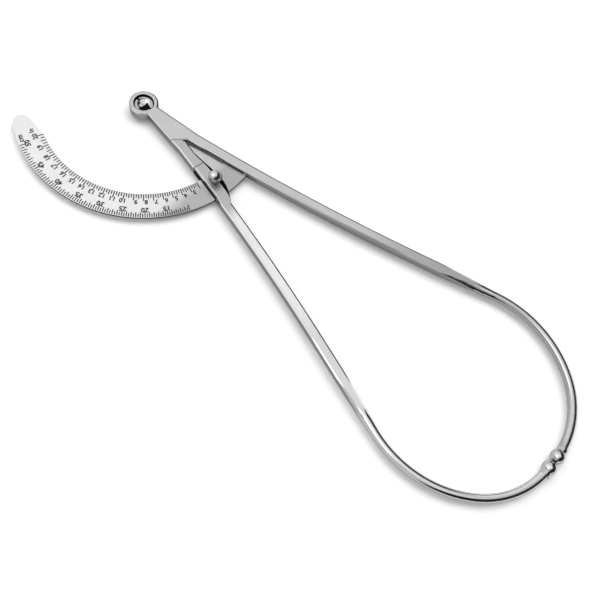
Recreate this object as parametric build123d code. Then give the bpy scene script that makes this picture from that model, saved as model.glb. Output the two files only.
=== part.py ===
"""Pelvimeter: two bowed steel arms on one pivot, a graduated arc and a clamp screw.

Frame in millimetres: origin on the pivot axis at the level that the instrument lies on,
+X along the closed instrument from the pivot to the tips, +Y towards the right arm, +Z up.
The right arm carries the graduated arc. The left arm turns about the pivot and slides over it.
"""
from build123d import *
from math import asin, atan2, cos, degrees, hypot, radians, sin, tan
import os

# Heights above the table
FOOT = 1.25                  # the arms lie this far above it, on the pivot nut and the balls
ARM_THICK = 6.0
ARM_TOP = FOOT + ARM_THICK
LAP_Z = FOOT + ARM_THICK / 2
LAP_GAP = 0.05

# Arm: a square bar that blends into a round bowed rod
BAR_WIDTH = 5.84
BAR_EDGE = (0.8, 0.42)       # its corners are cut this far across the flats and down the sides
BAR_START = (30.0, 3.27)
BAR_HEADING = 10.66          # degrees from +X
BAR_CURVE = 1470.0           # the bar bows outwards very slightly
BAR_LENGTH = 163.3
BLEND_LENGTH = 48.8          # square to round
BLEND_RADIUS = 4.35
ROD_RADIUS = 2.65
BEND_1 = (68.3, 53.86)       # radius and turn of the first bend
BEND_2 = (52.8, 52.58)       # radius and turn of the last bend, ending at the tip
BALL_GAP = 0.04              # left between the closed tips
COLLAR_RADIUS = 3.0
COLLAR_SPAN = (3.0, 5.4)     # from the ball's centre
SPIGOT_RADIUS = 1.5
SPIGOT_START = 1.2

# Lapped heads at the pivot. The shoulder is a slanted step where the full thickness begins
HEAD_RADIUS = 8.8
NECK = (9.0, 4.1)
SHOULDER = (30.2, 6.9)
SHOULDER_TIP = (37.0, 0.9)
NECK_INNER = [(38.3, 1.2), (45.1, 2.75), (51.4, 4.6)]
NECK_OUTER = (51.4, 9.0)
SHOULDER_GAP = 0.15
EDGE_BREAK = (0.4, 0.75)     # down the side and across the top

# Pivot
RECESS_RADIUS = 6.2
RECESS_FLOOR = 5.28
RECESS_EDGE = 0.3            # its rim is broken by this much
SCREW_HEAD_RADIUS = 6.08
SCREW_HEAD = (5.3, 6.4)      # bottom and top of the head
SCREW_DISH = (3.8, 1.05)     # radius and depth of the dish in its face
SCREW_SLOT = (1.3, 0.55)     # width and depth
SCREW_SLOT_TURN = 3.0
BARREL_RADIUS = 4.0
BARREL_BOTTOM = 2.75
BARREL_FIT = 0.03
THREAD_RADIUS = 2.5
THREAD_END = 0.2
NUT_ACROSS_FLATS = 10.0
NUT_TOP = 0.95
WASHER_RADIUS = 5.6

# Graduated arc
ARC_INNER = 61.9
ARC_OUTER = 77.6
ARC_BOTTOM = 2.6
ARC_TOP = 4.2
ARC_TAPER_ANGLE = -111.5     # here the inner edge leaves its circle
NOSE_ANGLE = -123.3
NOSE_RADIUS = 5.1
ROOT_ACROSS = 1.08           # the root reaches this far past the bar's centre line
ROOT_MOUTH = (60.4, 82.2)    # X of the two ends of its slot
ARC_PIN_RADIUS = 0.8
ARC_PIN_X = (65.0, 73.0)
ARC_PIN_ACROSS = -0.8
ARC_PIN_TOP = 5.6

# Left arm: a head piece with a tongue, and a bar that bridges the arc
JOINT_X = 53.3
TONGUE_TOP = 2.5
TONGUE_END = 92.0
BRIDGE_BOTTOM = 4.3
SLOT_INNER = 54.5
SLOT_OUTER = 77.9
LAP_SCREW_X = (57.0, 81.0, 87.5)
LAP_SCREW_RADIUS = 0.95
LAP_SCREW_HEAD = (1.6, 0.8)  # radius and depth of the countersunk head
LAP_SCREW_SLOT = (0.4, 0.35)
LAP_SCREW_TOP = 6.2
SPACER_RADIUS = 1.5
FIT = 0.02

# Swelling on the bridge's inner side: X, then Y of its top edge and of its foot
SWELL = [
    (44.0, -3.3, -2.9),
    (53.4, -4.0, -2.8),
    (60.5, -4.7, -2.5),
    (70.0, -6.7, -2.85),
    (77.5, -8.3, -6.0),
    (85.0, -12.3, -11.9),
]
SWELL_BACK = [-6.0, -8.0, -9.5, -11.0, -12.5, -14.0]
SWELL_FLANK = (0.78, 25.0)   # share of its width that is a gentle flank, and the flank's slope

# The bridge's outer side leans inwards under a broken edge and runs out along the bar
FLANK_LEAN = (1.0, 2.1)      # inwards and down
FLANK_EDGE = (0.5, 0.26)     # inwards and down
FLANK_RUN = ((52.0, 0.0), (76.0, 0.0), (88.0, 1.7))     # X, and how far the cut has moved outwards

# Friction spring let into the head piece, bearing on the arc's inner edge
SPRING = (2.8, 4.1)          # bottom and top
SPRING_TIP = (37.7, -0.5)
SPRING_RIGHT = [(45.9, 1.9), (53.0, 3.3)]
SPRING_LEFT = [(50.0, -7.3), (43.0, -6.2), (39.5, -3.2)]
SPRING_END_RADIUS = 61.8
SPRING_END_ANGLES = (-5.4, 4.6)
SPRING_PIN_AT = (46.3, -5.1)
SPRING_PIN_RADIUS = 0.7
SPRING_PIN_TOP = 5.6

# Clamp screw with a ball knob
CLAMP_AT = (67.94, -7.94)
KNOB_RADIUS = 4.1
KNOB_Z = 11.6
KNOB_STEM = (2.3, 7.35)      # radius and lowest level
CLAMP_RADIUS = 1.5
CLAMP_TOP = 12.0
PAD_RADIUS = 2.7
PAD_BOTTOM = 4.28
PAD_TOP = 5.08
PAD_TRAVEL = 0.5
CLAMP_SPIGOT = (0.8, 0.5)    # radius and length


def at_radius(radius, angle):
    """Point of the plan at a distance from the pivot and an angle in degrees."""
    return (radius * cos(radians(angle)), radius * sin(radians(angle)))


def raise_plan(plan, bottom, top):
    """Solid over a flat plan between two levels."""
    return extrude(Plane.XY.offset(bottom) * plan, amount=top - bottom)


def disc(radius, bottom, top, centre=(0, 0)):
    """Upright cylinder between two levels."""
    height = top - bottom
    return Pos(centre[0], centre[1], bottom + height / 2) * Cylinder(radius, height)


def groove(width, length, bottom, top, centre=(0, 0), turn=0):
    """Box for a screwdriver slot between two levels."""
    height = top - bottom
    return Pos(centre[0], centre[1], bottom + height / 2) * Rot(0, 0, turn) * Box(length, width, height)


def turned_over(shape):
    """The same shape on the left arm: turned half a turn about the closed line at the lap level."""
    return Pos(0, 0, LAP_Z) * Rot(180, 0, 0) * Pos(0, 0, -LAP_Z) * shape


# Centre line of the right arm at the lap level
bar_line = JernArc(
    (*BAR_START, LAP_Z),
    (cos(radians(BAR_HEADING)), sin(radians(BAR_HEADING))),
    BAR_CURVE,
    degrees(BAR_LENGTH / BAR_CURVE),
)
blend_line = Line(bar_line @ 1, bar_line @ 1 + BLEND_LENGTH * (bar_line % 1))
first_bend = JernArc(blend_line @ 1, blend_line % 1, BEND_1[0], -BEND_1[1])
last_bend = JernArc(first_bend @ 1, first_bend % 1, BEND_2[0], -BEND_2[1])
TIP = last_bend @ 1
TIP_PLANE = Plane(origin=TIP, z_dir=-(last_bend % 1))
BALL_RADIUS = TIP.Y - BALL_GAP / 2


def bar_plane(x, side=1):
    """Level plane on a bar's centre line at a given X, its X along the bar. side is -1 on the left arm."""
    share = (x - BAR_START[0]) / ((bar_line @ 1).X - BAR_START[0])
    origin = bar_line @ share
    along = bar_line % share
    return Plane(origin=(origin.X, origin.Y * side, 0), x_dir=(along.X, along.Y * side, 0), z_dir=(0, 0, 1))


def bar_box(start_x, end_x, bottom, top, across=(-8, 8), side=1):
    """Box in line with a bar, from one X to another and between two levels."""
    plane = bar_plane((start_x + end_x) / 2, side)
    length = (end_x - start_x) / plane.x_dir.X
    middle = ((across[0] + across[1]) / 2, (bottom + top) / 2)
    return plane * Pos(0, *middle) * Box(length, across[1] - across[0], top - bottom)


def bar_spot(x, side=1, across=0.0):
    """Plan position on a bar at a given X, moved across it."""
    plane = bar_plane(x, side)
    spot = plane.origin + across * plane.y_dir
    return (spot.X, spot.Y)


def head_plan():
    """Plan of the right arm's head: ring, neck, slanted shoulder and the start of the bar."""
    outline = [
        (0, NECK[1]),
        NECK,
        SHOULDER,
        NECK_OUTER,
        *reversed(NECK_INNER),
        SHOULDER_TIP,
        (SHOULDER[0], -SHOULDER[1]),
        (NECK[0], -NECK[1]),
        (0, -NECK[1]),
    ]
    return make_face(Polyline(*outline, close=True)) + Circle(HEAD_RADIUS)


def full_start():
    """Plan of the full-thickness start of the right bar, up to the other arm's shoulder."""
    outline = [SHOULDER, NECK_OUTER, *reversed(NECK_INNER), SHOULDER_TIP, (SHOULDER[0], NECK[1])]
    return make_face(Polyline(*outline, close=True))


def bar_section():
    """Square section of the bar with its corners cut, its height along X."""
    across, down = BAR_EDGE
    high, wide = ARM_THICK / 2, BAR_WIDTH / 2
    corner = [(high - down, wide), (high, wide - across)]
    side = corner + [(x, -y) for x, y in reversed(corner)]
    return make_face(Polyline(*side, *[(-x, -y) for x, y in side], close=True))


def broken_edges(body, ends=(-1,)):
    """The body with the edges of its top face broken, or of both its end faces."""
    for end in ends:
        face = body.faces().sort_by(Axis.Z)[end]
        body = chamfer(face.edges(), EDGE_BREAK[1], EDGE_BREAK[0], reference=face)
    return body


def plain_arm():
    """Right arm before it is worked: head, square bar, blend and bowed rod."""
    section = bar_section()
    start = Plane(origin=bar_line @ 0, x_dir=(0, 0, 1), z_dir=bar_line % 0)
    bar = sweep(start * section, path=bar_line)
    # The flats of the bar run out on a slim cone
    turn = Plane(origin=blend_line @ 0, x_dir=(0, 0, 1), z_dir=blend_line % 0)
    square = extrude(turn * section, amount=BLEND_LENGTH)
    cone = turn * Pos(0, 0, BLEND_LENGTH / 2) * Cone(BLEND_RADIUS, ROD_RADIUS, BLEND_LENGTH)
    # The rod stops at the ball's collar and goes on as a thin spigot
    bend_start = Plane(origin=first_bend @ 0, x_dir=(0, 0, 1), z_dir=first_bend % 0)
    last_start = Plane(origin=last_bend @ 0, x_dir=(0, 0, 1), z_dir=last_bend % 0)
    rod = sweep(bend_start * Circle(ROD_RADIUS), path=first_bend)
    rod += sweep(last_start * Circle(ROD_RADIUS), path=last_bend)
    rod -= TIP_PLANE * Pos(0, 0, COLLAR_SPAN[1] / 2) * Cylinder(6, COLLAR_SPAN[1])
    spigot_length = COLLAR_SPAN[1] + 1.0 - SPIGOT_START
    rod += TIP_PLANE * Pos(0, 0, SPIGOT_START + spigot_length / 2) * Cylinder(SPIGOT_RADIUS, spigot_length)
    # The other arm's head takes the lower half of the first stretch
    bar += broken_edges(raise_plan(full_start(), FOOT, ARM_TOP), (-1, 0))
    other = mirror(offset(head_plan(), SHOULDER_GAP, kind=Kind.INTERSECTION), about=Plane.XZ)
    bar -= raise_plan(other, FOOT - 1, LAP_Z + LAP_GAP / 2)
    # The head itself is the upper half
    head = broken_edges(raise_plan(head_plan(), LAP_Z + LAP_GAP / 2, ARM_TOP))
    return bar + (square & cone) + rod + head


def tip_ball():
    """Ball and collar turned in one piece, bored for the rod's spigot."""
    middle = (COLLAR_SPAN[0] + COLLAR_SPAN[1]) / 2
    length = COLLAR_SPAN[1] - COLLAR_SPAN[0]
    bore = COLLAR_SPAN[1] - SPIGOT_START + FIT
    ball = Pos(*TIP) * Sphere(BALL_RADIUS)
    ball += TIP_PLANE * Pos(0, 0, middle) * Cylinder(COLLAR_RADIUS, length)
    return ball - TIP_PLANE * Pos(0, 0, COLLAR_SPAN[1] - bore / 2) * Cylinder(SPIGOT_RADIUS + FIT, bore)


def arc_plan():
    """Plan of the graduated arc: a band about the pivot with a rounded nose, up to past its root."""
    start = 16.0
    nose = Vector(*at_radius(ARC_OUTER - NOSE_RADIUS, NOSE_ANGLE))
    taper = Vector(*at_radius(ARC_INNER, ARC_TAPER_ANGLE))
    reach = nose - taper
    lean = degrees(asin(NOSE_RADIUS / hypot(reach.X, reach.Y)))
    heading = degrees(atan2(reach.Y, reach.X)) - lean
    # The nose runs from the outer edge round to the point where the straight taper touches it
    touch_angle = heading - 90
    outer_end = nose + Vector(*at_radius(NOSE_RADIUS, NOSE_ANGLE))
    crown = nose + Vector(*at_radius(NOSE_RADIUS, (NOSE_ANGLE + touch_angle) / 2))
    touch = nose + Vector(*at_radius(NOSE_RADIUS, touch_angle))
    edges = [
        CenterArc((0, 0), ARC_OUTER, start, NOSE_ANGLE - start),
        ThreePointArc(outer_end, crown, touch),
        Line(touch, taper),
        CenterArc((0, 0), ARC_INNER, ARC_TAPER_ANGLE, start - ARC_TAPER_ANGLE),
        Line(at_radius(ARC_INNER, start), at_radius(ARC_OUTER, start)),
    ]
    return make_face(edges)


def right_arm():
    """Right arm with the blind slot for the arc's root, the pivot recess and the barrel's hole."""
    arm = plain_arm()
    arm -= disc(RECESS_RADIUS, RECESS_FLOOR, ARM_TOP + 1)
    rim = Cone(RECESS_RADIUS - RECESS_EDGE, RECESS_RADIUS + 2 * RECESS_EDGE, 3 * RECESS_EDGE)
    arm -= Pos(0, 0, ARM_TOP) * rim
    arm -= disc(BARREL_RADIUS + BARREL_FIT, FOOT, ARM_TOP)
    arm -= bar_box(*ROOT_MOUTH, ARC_BOTTOM - FIT, ARC_TOP + FIT, across=(-8, ROOT_ACROSS + FIT))
    for x in ARC_PIN_X:
        arm -= disc(ARC_PIN_RADIUS + FIT, FOOT - 1, ARC_PIN_TOP + FIT, bar_spot(x, 1, ARC_PIN_ACROSS))
    return arm


def graduated_arc():
    """Flat graduated band whose root sits in the right arm."""
    arc = raise_plan(arc_plan(), ARC_BOTTOM, ARC_TOP)
    arc -= bar_box(55, 85, ARC_BOTTOM - 1, ARC_TOP + 1, across=(ROOT_ACROSS, 30))
    for x in ARC_PIN_X:
        arc -= disc(ARC_PIN_RADIUS + FIT, ARC_BOTTOM - 1, ARC_TOP + 1, bar_spot(x, 1, ARC_PIN_ACROSS))
    return arc


def arc_pins():
    """Two blind pins that hold the arc's root, let in from beneath."""
    return [disc(ARC_PIN_RADIUS, FOOT, ARC_PIN_TOP, bar_spot(x, 1, ARC_PIN_ACROSS)) for x in ARC_PIN_X]


def swelling():
    """Body of the bridge's swollen inner side: a gentle flank, then a steeper foot."""
    share, slope = SWELL_FLANK
    sections = []
    for (x, top_y, foot_y), back_y in zip(SWELL, SWELL_BACK):
        flank = share * (foot_y - top_y)
        rim = [
            (back_y, BRIDGE_BOTTOM),
            (foot_y, BRIDGE_BOTTOM),
            (top_y + flank, ARM_TOP - flank * tan(radians(slope))),
            (top_y, ARM_TOP),
            (back_y, ARM_TOP),
        ]
        across = Plane(origin=(x, 0, 0), x_dir=(0, 1, 0), z_dir=(1, 0, 0))
        sections.append(across * make_face(Polyline(*rim, close=True)))
    return loft(sections)


def bridge_flank():
    """What is cut off the bridge's outer side and its end at the joint."""
    lean, lean_down = FLANK_LEAN
    edge, edge_down = FLANK_EDGE
    rise = edge_down / edge
    sections = []
    for x, moved in FLANK_RUN:
        plane = bar_plane(x, -1)
        foot = -BAR_WIDTH / 2 - moved
        knee = foot + lean
        outline = [
            (knee + 2 * edge, ARM_TOP + edge_down),
            (foot - 1, ARM_TOP + edge_down),
            (foot - 1, ARM_TOP - edge_down - (lean + 1) * lean_down / lean),
            (knee, ARM_TOP - edge_down),
        ]
        upright = Plane(origin=plane.origin, x_dir=plane.y_dir, z_dir=plane.x_dir)
        sections.append(upright * make_face(Polyline(*outline, close=True)))
    joint = bar_plane(JOINT_X, -1)
    along = Plane(origin=joint.origin - 12 * joint.y_dir, x_dir=joint.x_dir, z_dir=-joint.y_dir)
    wedge = [(-1, ARM_TOP - edge_down - rise), (edge * 2, ARM_TOP + edge_down), (-1, ARM_TOP + edge_down)]
    end_cut = extrude(along * make_face(Polyline(*wedge, close=True)), amount=-24)
    return [loft(sections, ruled=True), end_cut]


def spring_plan():
    """Plan of the leaf spring; its free end is a circle's arc just inside the graduated band."""
    low, high = SPRING_END_ANGLES
    end_arc = CenterArc((0, 0), SPRING_END_RADIUS, low, high - low)
    sides = Polyline(end_arc @ 1, *reversed(SPRING_RIGHT), SPRING_TIP, *reversed(SPRING_LEFT), end_arc @ 0)
    return make_face([end_arc, *sides.edges()])


def countersunk(x, margin):
    """Lap screw's outline from beneath: cone head and shank."""
    spot = bar_spot(x, -1)
    head_radius, head_depth = LAP_SCREW_HEAD
    shank = disc(LAP_SCREW_RADIUS + margin, FOOT, LAP_SCREW_TOP + margin, spot)
    cone = Cone(head_radius + margin, LAP_SCREW_RADIUS + margin, head_depth)
    return shank + Pos(*spot, FOOT + head_depth / 2) * cone


def left_arm():
    """Left arm's two pieces: the head with its tongue, and the bar with the bridge."""
    arm = turned_over(plain_arm())
    arm += swelling()
    arm -= disc(BARREL_RADIUS + FIT, BARREL_BOTTOM, ARM_TOP)
    arm -= disc(THREAD_RADIUS + FIT, 0, ARM_TOP)
    # Room for the spring and its pin, and for the lap screws
    arm -= raise_plan(offset(spring_plan(), 0.06, kind=Kind.INTERSECTION), SPRING[0] - FIT, SPRING[1] + FIT)
    arm -= disc(SPRING_PIN_RADIUS + FIT, FOOT - 1, SPRING_PIN_TOP + FIT, SPRING_PIN_AT)
    for x in LAP_SCREW_X:
        arm -= countersunk(x, FIT)
    # The head piece is full up to the joint and goes on as a thin tongue
    stub = bar_plane(JOINT_X, -1) * Pos(-40, 0, LAP_Z) * Box(80, 80, 12)
    tongue = bar_box(JOINT_X - 2, TONGUE_END, FOOT - 1, TONGUE_TOP, side=-1)
    head_region = stub + tongue
    head = arm & head_region
    bar = arm - head_region
    slot = raise_plan(Circle(SLOT_OUTER) - Circle(SLOT_INNER), TONGUE_TOP - 0.01, BRIDGE_BOTTOM)
    bar -= slot
    bar -= bridge_flank()
    bar -= disc(CLAMP_RADIUS + 0.05, BRIDGE_BOTTOM - 1, ARM_TOP + 1, CLAMP_AT)
    bar -= disc(PAD_RADIUS + 0.06, BRIDGE_BOTTOM - 1, PAD_TOP + PAD_TRAVEL + 0.04, CLAMP_AT)
    return head, bar


def lap_screws():
    """Countersunk slotted screws that hold the two pieces of the left arm together."""
    screws = []
    for x in LAP_SCREW_X:
        width, depth = LAP_SCREW_SLOT
        screws.append(countersunk(x, 0) - groove(width, 4, FOOT - 1, FOOT + depth, bar_spot(x, -1), 35))
    return screws


def slot_spacer():
    """Bush round the first lap screw that keeps the bridge clear of the arc."""
    spot = bar_spot(LAP_SCREW_X[0], -1)
    return disc(SPACER_RADIUS, TONGUE_TOP, BRIDGE_BOTTOM, spot) - disc(LAP_SCREW_RADIUS + FIT, 0, 8, spot)


def friction_spring():
    """Leaf that rides with the left arm and bears on the arc's inner edge."""
    leaf = raise_plan(spring_plan(), *SPRING)
    return leaf - disc(SPRING_PIN_RADIUS + FIT, 0, 8, SPRING_PIN_AT)


def pivot_screw():
    """Wide slotted screw: dished head, barrel that the right arm turns on, threaded end."""
    bottom, top = SCREW_HEAD
    dish_radius, dish_depth = SCREW_DISH
    width, depth = SCREW_SLOT
    screw = disc(SCREW_HEAD_RADIUS, bottom, top)
    screw = chamfer(screw.faces().sort_by(Axis.Z)[-1].edges(), 0.15)
    screw += disc(BARREL_RADIUS, BARREL_BOTTOM + FIT, bottom)
    screw += disc(THREAD_RADIUS, THREAD_END, BARREL_BOTTOM + FIT)
    # A large ball hollows the face
    ball_radius = (dish_radius ** 2 + dish_depth ** 2) / (2 * dish_depth)
    screw -= Pos(0, 0, top - dish_depth + ball_radius) * Sphere(ball_radius)
    return screw - groove(width, 14, top - depth, top + 1, turn=SCREW_SLOT_TURN)


def pivot_nut():
    """Thin hexagon nut on the underside."""
    nut = raise_plan(RegularPolygon(NUT_ACROSS_FLATS / 2, 6, major_radius=False), 0, NUT_TOP)
    return nut - disc(THREAD_RADIUS + FIT, -1, NUT_TOP + 1)


def nut_washer():
    """Flat washer between the nut and the left head."""
    return disc(WASHER_RADIUS, NUT_TOP, FOOT) - disc(THREAD_RADIUS + 0.1, 0, FOOT + 1)


def clamp_knob():
    """Ball knob and stem turned in one piece, bored for the screw."""
    stem_radius, stem_bottom = KNOB_STEM
    knob = Pos(*CLAMP_AT, KNOB_Z) * Sphere(KNOB_RADIUS)
    knob += disc(stem_radius, stem_bottom, KNOB_Z, CLAMP_AT)
    return knob - disc(CLAMP_RADIUS + FIT, 0, CLAMP_TOP + FIT, CLAMP_AT)


def clamp_screw():
    """Screw through the bridge, with a small spigot that turns in the pad."""
    radius, length = CLAMP_SPIGOT
    screw = disc(CLAMP_RADIUS, PAD_TOP + FIT, CLAMP_TOP, CLAMP_AT)
    return screw + disc(radius, PAD_TOP - length, PAD_TOP + FIT, CLAMP_AT)


def clamp_pad():
    """Round pad in the bridge's underside that presses on the arc."""
    radius, length = CLAMP_SPIGOT
    pad = disc(PAD_RADIUS, PAD_BOTTOM, PAD_TOP, CLAMP_AT)
    return pad - disc(radius + 0.05, PAD_TOP - length - 0.05, PAD_TOP + 1, CLAMP_AT)


def export(shape, node):
    """Write one sub-part. A list of solids goes into one file."""
    if isinstance(shape, list):
        shape = Compound(children=shape)
    shape.label = node
    export_step(shape, f"parts/{node}.step")


os.makedirs("parts", exist_ok=True)
ball = tip_ball()
left_head, left_bar = left_arm()
export(right_arm(), "right_arm")
export(graduated_arc(), "graduated_arc")
export(arc_pins(), "arc_pins")
export(ball, "right_tip_ball")
export(left_head, "left_arm_head")
export(left_bar, "left_arm_bar")
export(lap_screws(), "lap_screws")
export(slot_spacer(), "slot_spacer")
export(turned_over(ball), "left_tip_ball")
export(friction_spring(), "friction_spring")
export(disc(SPRING_PIN_RADIUS, FOOT, SPRING_PIN_TOP, SPRING_PIN_AT), "spring_pin")
export(pivot_screw(), "pivot_screw")
export(pivot_nut(), "pivot_nut")
export(nut_washer(), "nut_washer")
export(clamp_knob(), "clamp_knob")
export(clamp_screw(), "clamp_screw")
export(clamp_pad(), "clamp_pad")
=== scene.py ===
"""Looks of a pelvimeter: two bowed steel arms, a graduated arc, a friction spring and a ball-headed clamp.

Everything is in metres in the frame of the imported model: origin on the pivot axis at the level the
instrument lies on, +X towards the tips, +Y towards the right arm, +Z up.
"""
import logging
import math
from dataclasses import dataclass
from enum import Enum

import bpy
from mathutils import Matrix, Vector


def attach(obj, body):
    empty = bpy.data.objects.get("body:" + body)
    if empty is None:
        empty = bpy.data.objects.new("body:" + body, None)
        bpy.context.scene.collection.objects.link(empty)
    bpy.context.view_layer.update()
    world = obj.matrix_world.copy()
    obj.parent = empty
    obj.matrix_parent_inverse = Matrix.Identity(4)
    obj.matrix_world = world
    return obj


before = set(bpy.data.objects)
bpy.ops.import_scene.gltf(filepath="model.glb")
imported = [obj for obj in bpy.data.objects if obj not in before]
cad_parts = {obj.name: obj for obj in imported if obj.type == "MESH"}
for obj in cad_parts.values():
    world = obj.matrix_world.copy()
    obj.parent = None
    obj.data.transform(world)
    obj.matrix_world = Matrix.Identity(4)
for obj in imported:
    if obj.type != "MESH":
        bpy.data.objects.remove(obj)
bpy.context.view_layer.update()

MM = 0.001
NOISE_MIDDLE = (0.3, 0.7)  # holds most values of a noise
BUMP_HEIGHT = 0.02 * MM
log = logging.getLogger("pelvimeter")
Socket = bpy.types.NodeSocket
Pair = tuple[float, float]
Triple = tuple[float, float, float]


class Body(Enum):
    """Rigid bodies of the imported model."""

    RIGHT = "right_half"
    LEFT = "left_half"
    PAD = "pad"
    CLAMP = "clamp"


class Slot(Enum):
    """Material slots of the record."""

    ARM = "arm_steel"
    ARC = "arc_steel"
    BALL = "ball_steel"
    SCREW = "screw_steel"
    SPRING = "spring_steel"
    PIN = "pin_steel"


class Lay(Enum):
    """Direction that the polishing grain of a steel follows, in degrees from +X."""

    ALONG_RIGHT_ARM = 14.0
    ALONG_LEFT_ARM = -14.0
    ALONG_X = 0.0


def opaque(tone: Triple, share: float = 1.0) -> tuple[float, ...]:
    """Colour for a node's socket.

    Args:
        tone: Red, green and blue.
        share: Share of its brightness that the tone keeps.

    Returns:
        Red, green, blue and a full alpha.
    """
    return *(channel * share for channel in tone), 1.0


def about(edge: float, soft: float) -> Pair:
    """Ends of a soft step across an edge."""
    return edge - soft, edge + soft


def put_in_scene(name: str, data: bpy.types.ID) -> bpy.types.Object:
    """Makes an object at the origin of the scene.

    Args:
        name: Its name.
        data: Its mesh, text, camera or light.

    Returns:
        The object.
    """
    thing = bpy.data.objects.new(name, data)
    bpy.context.scene.collection.objects.link(thing)
    return thing


class NodeMaker:
    """Short-hand for building node trees."""

    AS_NUMBER = ("DOT_PRODUCT", "LENGTH")  # operations that give a number

    def __init__(self, tree: bpy.types.NodeTree) -> None:
        """Keeps the tree to fill."""
        self.tree = tree

    def add(self, kind: str, settings: dict | None = None, **inputs: object) -> bpy.types.Node:
        """Adds a node.

        Args:
            kind: Blender's type name of the node.
            settings: Attributes of the node itself.
            inputs: Sockets by name, with underscores for spaces, each with a value or a socket.

        Returns:
            The new node.
        """
        node = self.tree.nodes.new(kind)
        for key, value in (settings or {}).items():
            setattr(node, key, value)
        for key, value in inputs.items():
            self.feed(node.inputs[key.replace("_", " ")], value)
        return node

    def feed(self, socket: Socket, value: object) -> None:
        """Sets a socket to a value, or links it to another socket.

        Args:
            socket: The socket to feed.
            value: The value, or the socket to link it to.
        """
        if isinstance(value, Socket):
            self.tree.links.new(value, socket)
        else:
            socket.default_value = value

    def math(self, operation: str, first: object, second: object = 0.0) -> Socket:
        """Adds one sum of two numbers.

        Args:
            operation: Blender's name of the operation.
            first: First number or socket.
            second: Second number or socket.

        Returns:
            The socket with the result.
        """
        node = self.add("ShaderNodeMath", {"operation": operation})
        self.feed(node.inputs[0], first)
        self.feed(node.inputs[1], second)
        return node.outputs[0]

    def product(self, first: object, *others: object) -> Socket:
        """Adds a product of several numbers.

        Args:
            first: First number or socket.
            others: The other numbers or sockets.

        Returns:
            The socket with the result.
        """
        result = first
        for factor in others:
            result = self.math("MULTIPLY", result, factor)
        return result

    def span(self, value: object, ends: Pair, first: float, last: float) -> Socket:
        """Maps a number from one range to another, clamped.

        Args:
            value: Socket with the number.
            ends: Start and end of its range.
            first: Result at the start.
            last: Result at the end.

        Returns:
            The socket with the result.
        """
        start, end = ends
        node = self.add(
            "ShaderNodeMapRange", Value=value, From_Min=start, From_Max=end, To_Min=first, To_Max=last
        )
        return node.outputs["Result"]

    def rise(self, value: object, ends: Pair) -> Socket:
        """Adds a share that goes from 0 to 1 over a number's range."""
        return self.span(value, ends, 0.0, 1.0)

    def fall(self, value: object, ends: Pair) -> Socket:
        """Adds a share that goes from 1 to 0 over a number's range."""
        return self.span(value, ends, 1.0, 0.0)

    def vector(self, operation: str, first: object, second: object = (0.0, 0.0, 0.0)) -> Socket:
        """Adds one sum of two vectors.

        Args:
            operation: Blender's name of the operation.
            first: First vector or socket.
            second: Second vector or socket.

        Returns:
            The socket with the result, a number for a dot product or a length.
        """
        node = self.add("ShaderNodeVectorMath", {"operation": operation})
        self.feed(node.inputs[0], first)
        self.feed(node.inputs[1], second)
        return node.outputs["Value" if operation in self.AS_NUMBER else "Vector"]

    def scaled(self, vector: Socket, factor: object) -> Socket:
        """Adds a vector times a number.

        Args:
            vector: Socket with the vector or the colour.
            factor: The number or its socket.

        Returns:
            The socket with the result.
        """
        node = self.add("ShaderNodeVectorMath", {"operation": "SCALE"}, Vector=vector, Scale=factor)
        return node.outputs["Vector"]

    def reach(self, place: Socket, axis: tuple[float, ...]) -> Socket:
        """Adds the distance from an upright axis.

        Args:
            place: Socket with Object coordinates.
            axis: A point on the axis. Only its X and Y count.

        Returns:
            Socket with the distance.
        """
        offset = self.vector("SUBTRACT", place, (*axis[:2], 0.0))
        return self.vector("LENGTH", self.vector("MULTIPLY", offset, (1.0, 1.0, 0.0)))

    def mix(self, share: Socket, first: object, second: object) -> Socket:
        """Adds a mixture of two colours.

        Args:
            share: Socket with the share of the second colour.
            first: First colour or socket.
            second: Second colour or socket.

        Returns:
            The socket with the colour.
        """
        node = self.add("ShaderNodeMix", {"data_type": "RGBA"}, Factor=share)
        self.feed(node.inputs[6], first)
        self.feed(node.inputs[7], second)
        return node.outputs[2]


def cleared(owner: bpy.types.Material | bpy.types.World) -> NodeMaker:
    """Clears the nodes that a new material or world comes with.

    Args:
        owner: The material or world.

    Returns:
        A maker on its tree.
    """
    owner.use_nodes = True
    owner.node_tree.nodes.clear()
    return NodeMaker(owner.node_tree)


@dataclass(frozen=True)
class Spot:
    """Sockets that say where a spot of the surface is and which way it faces.

    Attributes:
        place: Its Object coordinates.
        along: Its X.
        facing: How far it faces up or down, from 0 to 1.
        across: How far it faces +Y, from -1 to 1.
    """

    place: Socket
    along: Socket
    facing: Socket
    across: Socket

    @classmethod
    def read(cls, make: NodeMaker) -> "Spot":
        """Adds the nodes that the sockets are on.

        Args:
            make: Maker on the material's tree.

        Returns:
            The four sockets.
        """
        coordinates = make.add("ShaderNodeTexCoord").outputs
        place = coordinates["Object"]
        along = make.add("ShaderNodeSeparateXYZ", Vector=place).outputs["X"]
        normal = make.add("ShaderNodeSeparateXYZ", Vector=coordinates["Normal"]).outputs
        return cls(place, along, make.math("ABSOLUTE", normal["Z"]), normal["Y"])


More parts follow.
